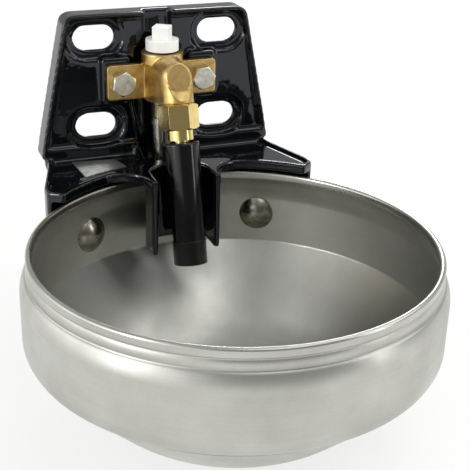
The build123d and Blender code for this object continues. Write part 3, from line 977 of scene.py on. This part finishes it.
# ---- Studio ---------------------------------------------------------------------------------
@dataclass
class Camera:
    """Camera in front of the bowl, a little to its left and above its rim."""

    place: Tuple[float, float, float] = (-0.2303, -0.7323, 0.2142)
    azimuth: float = -22.40
    elevation: float = 24.31
    roll: float = 1.63
    lens: float = 80.61

    def build(self) -> bpy.types.Object:
        """Makes the camera and makes it the scene's own.

        Returns:
            The camera object.
        """
        a, e, r = (math.radians(v) for v in (self.azimuth, self.elevation, self.roll))
        back = Vector((math.sin(a) * math.cos(e), -math.cos(a) * math.cos(e), math.sin(e)))
        right = (-back).cross(Vector((0.0, 0.0, 1.0))).normalized()
        up = right.cross(-back)
        turned_right = math.cos(r) * right + math.sin(r) * up
        turned_up = -math.sin(r) * right + math.cos(r) * up
        data = bpy.data.cameras.new("camera")
        data.lens = self.lens
        data.sensor_width = 36.0
        data.clip_start, data.clip_end = 0.01, 50.0
        camera = bpy.data.objects.new("camera", data)
        matrix = Matrix((turned_right, turned_up, back)).transposed().to_4x4()
        camera.matrix_world = Matrix.Translation(self.place) @ matrix
        bpy.context.scene.collection.objects.link(camera)
        bpy.context.scene.camera = camera
        return camera


@dataclass
class SoftBox:
    """One rectangular studio lamp aimed at a point."""

    name: str
    place: Tuple[float, float, float]
    size: Tuple[float, float]
    power: float
    aim: Tuple[float, float, float] = (0.0, -0.15, -0.05)

    def build(self) -> bpy.types.Object:
        """Makes the lamp.

        Returns:
            The lamp object.
        """
        data = bpy.data.lights.new(self.name, "AREA")
        data.shape = "RECTANGLE"
        data.size, data.size_y = self.size
        data.energy = self.power
        lamp = bpy.data.objects.new(self.name, data)
        lamp.location = self.place
        direction = Vector(self.aim) - Vector(self.place)
        lamp.rotation_mode = "QUATERNION"
        lamp.rotation_quaternion = direction.to_track_quat("-Z", "Y")
        bpy.context.scene.collection.objects.link(lamp)
        return lamp


@dataclass
class Studio:
    """Pale floor, surroundings of uneven brightness and soft lamps."""

    floor_half: float = 6.0
    floor_z: float = -0.1875
    floor_colour: str = "#F4F4F2"
    floor_glow: float = 0.72    # share of plain white in the floor that is seen or mirrored
    fill: float = 0.8           # strength of the surroundings as a light
    front_dark: float = 0.18    # strengths that shiny pieces mirror
    overhead: float = 0.53
    left_bright: float = 2.2
    front_rise: Tuple[float, float] = (0.3, 0.85)       # Z, from dim front to overhead
    front_end: Tuple[float, float] = (-0.5, 0.35)       # Y, from the front to the back
    left_start: Tuple[float, float] = (-0.45, -0.95)    # X, into the bright left
    left_top: Tuple[float, float] = (0.6, 0.3)          # Z, down into the bright left
    lamps: List[SoftBox] = field(default_factory=lambda: [
        SoftBox("front_top", (0.18, -1.08, 1.40), (0.8, 0.8), 3.0),
        SoftBox("right_top", (0.85, -0.3, 1.75), (0.7, 0.7), 3.6),
        SoftBox("key_left", (-1.5, -0.5, 1.2), (1.0, 1.0), 1.2),
        SoftBox("fill_right", (1.6, -0.5, 1.1), (1.0, 1.0), 5.0),
        SoftBox("back_right", (0.9, 1.5, 1.0), (0.8, 0.4), 9.0),
        SoftBox("strip_left", (-1.6, -0.65, 0.5), (0.2, 1.2), 7.0),
        SoftBox("strip_right", (1.3, -1.2, 0.45), (0.22, 1.2), 4.0),
    ])

    def seen_directly(self, tree: bpy.types.NodeTree, *rays: str) -> bpy.types.NodeSocket:
        """One for the named kinds of ray, otherwise zero.

        Args:
            tree: Node tree that gets the nodes.
            rays: Outputs of the Light Path node.

        Returns:
            The combined value.
        """
        path = add_node(tree, "ShaderNodeLightPath")
        total = path.outputs[rays[0]]
        for ray in rays[1:]:
            total = add_node(tree, "ShaderNodeMath", {"operation": "MAXIMUM"}, {
                0: total, 1: path.outputs[ray]}).outputs["Value"]
        return total

    def floor(self) -> bpy.types.Object:
        """Makes the floor, which looks white but keeps the object's shadow.

        Returns:
            The floor object.
        """
        material = bpy.data.materials.new("pale_floor")
        material.use_nodes = True
        tree = material.node_tree
        tree.nodes.clear()
        matt = add_node(tree, "ShaderNodeBsdfDiffuse", inputs={"Color": linear(self.floor_colour)})
        glow = add_node(tree, "ShaderNodeEmission", inputs={"Strength": 1.0})
        share = add_node(tree, "ShaderNodeMath", {"operation": "MULTIPLY"}, {
            0: self.seen_directly(tree, "Is Camera Ray", "Is Glossy Ray",
                                  "Is Transmission Ray"), 1: self.floor_glow}).outputs["Value"]
        mixed = add_node(tree, "ShaderNodeMixShader", inputs={
            0: share, 1: matt.outputs["BSDF"], 2: glow.outputs["Emission"]})
        add_node(tree, "ShaderNodeOutputMaterial", inputs={"Surface": mixed.outputs["Shader"]})
        bm = bmesh.new()
        bmesh.ops.create_grid(bm, x_segments=1, y_segments=1, size=self.floor_half)
        bmesh.ops.translate(bm, verts=bm.verts[:], vec=(0.0, 0.0, self.floor_z))
        floor = new_piece("floor", bm, material, smooth=False)
        return floor

    def ramp(self, tree: bpy.types.NodeTree, value: bpy.types.NodeSocket,
             span: Tuple[float, float], low: float = 0.0,
             high: float = 1.0) -> bpy.types.NodeSocket:
        """Goes from one level to another while a direction crosses a span.

        Args:
            tree: Node tree of the world.
            value: One part of the direction.
            span: Where the change starts and ends.
            low: Level at the start.
            high: Level at the end.

        Returns:
            The level.
        """
        return add_node(tree, "ShaderNodeMapRange", inputs={
            "Value": value, "From Min": span[0], "From Max": span[1], "To Min": low,
            "To Max": high}).outputs["Result"]

    def mirrored(self, tree: bpy.types.NodeTree) -> bpy.types.NodeSocket:
        """Brightness of the room that shiny pieces mirror, by direction.

        Args:
            tree: Node tree of the world.

        Returns:
            The strength: dim low in front, even above and behind, bright low on the left.
        """
        direction = add_node(tree, "ShaderNodeTexCoord").outputs["Generated"]
        parts = add_node(tree, "ShaderNodeSeparateXYZ", inputs={0: direction})
        behind = self.ramp(tree, parts.outputs["Y"], self.front_end)
        ahead = self.ramp(tree, parts.outputs["Z"], self.front_rise, self.front_dark,
                          self.overhead)
        room = add_node(tree, "ShaderNodeMix", {"data_type": "FLOAT"}, {
            "Factor": behind, "A": ahead, "B": self.overhead}).outputs["Result"]
        low_left = add_node(tree, "ShaderNodeMath", {"operation": "MULTIPLY"}, {
            0: self.ramp(tree, parts.outputs["X"], self.left_start),
            1: self.ramp(tree, parts.outputs["Z"], self.left_top)}).outputs["Value"]
        return add_node(tree, "ShaderNodeMix", {"data_type": "FLOAT"}, {
            "Factor": low_left, "A": room, "B": self.left_bright}).outputs["Result"]

    def surroundings(self) -> None:
        """Makes a world that is white where it is seen and uneven where it is mirrored."""
        world = bpy.data.worlds.new("white_room")
        bpy.context.scene.world = world
        world.use_nodes = True
        tree = world.node_tree
        tree.nodes.clear()
        lit = add_node(tree, "ShaderNodeBackground", inputs={
            "Color": linear("#FFFFFF"), "Strength": self.fill})
        shown = add_node(tree, "ShaderNodeBackground", inputs={
            "Color": linear("#FFFFFF"), "Strength": self.mirrored(tree)})
        first = add_node(tree, "ShaderNodeMixShader", inputs={
            0: self.seen_directly(tree, "Is Glossy Ray", "Is Transmission Ray"),
            1: lit.outputs["Background"], 2: shown.outputs["Background"]})
        white = add_node(tree, "ShaderNodeBackground", inputs={
            "Color": linear("#FFFFFF"), "Strength": 1.0})
        second = add_node(tree, "ShaderNodeMixShader", inputs={
            0: self.seen_directly(tree, "Is Camera Ray"), 1: first.outputs["Shader"],
            2: white.outputs["Background"]})
        add_node(tree, "ShaderNodeOutputWorld", inputs={"Surface": second.outputs["Shader"]})

    def build(self) -> None:
        """Makes the floor, the surroundings and the lamps."""
        bpy.context.scene.view_settings.view_transform = "Standard"
        self.floor()
        self.surroundings()
        for lamp in self.lamps:
            lamp.build()
        log.info("studio: %d lamps", len(self.lamps))


def main() -> None:
    """Builds every sub-assembly in order and then the studio round them."""
    logging.basicConfig(level=logging.INFO, format="%(name)s %(message)s")
    finishes = FrameFinishes()
    finishes.dress()
    SpunBowl().build(finishes)
    EnamelledBracket().build(finishes)
    ValveCasting().build(finishes)
    EasedPart("union_nut", Body.BASE, "polished_brass", 0.3, -29.0).build(finishes)
    EasedPart("inlet_plug", Body.BASE, "white_plastic", 0.7, -44.0,
              Vector((0.0, RUN_Y, 0.0)), Vector((0.0, 0.0, 1.0))).build(finishes)
    for fasteners in ("flange_bolts", "bowl_nuts", "flange_nuts"):
        EasedPart(fasteners, Body.BASE, "zinc_steel").build(finishes)
    EasedPart("tube_sleeve", Body.TUBE, "black_rubber", 0.6).build(finishes)
    ReturnSpring().build(finishes)
    ShelfPlate().build(finishes)
    Studio().build()
    Camera().build()


if __name__ == "__main__":
    main()
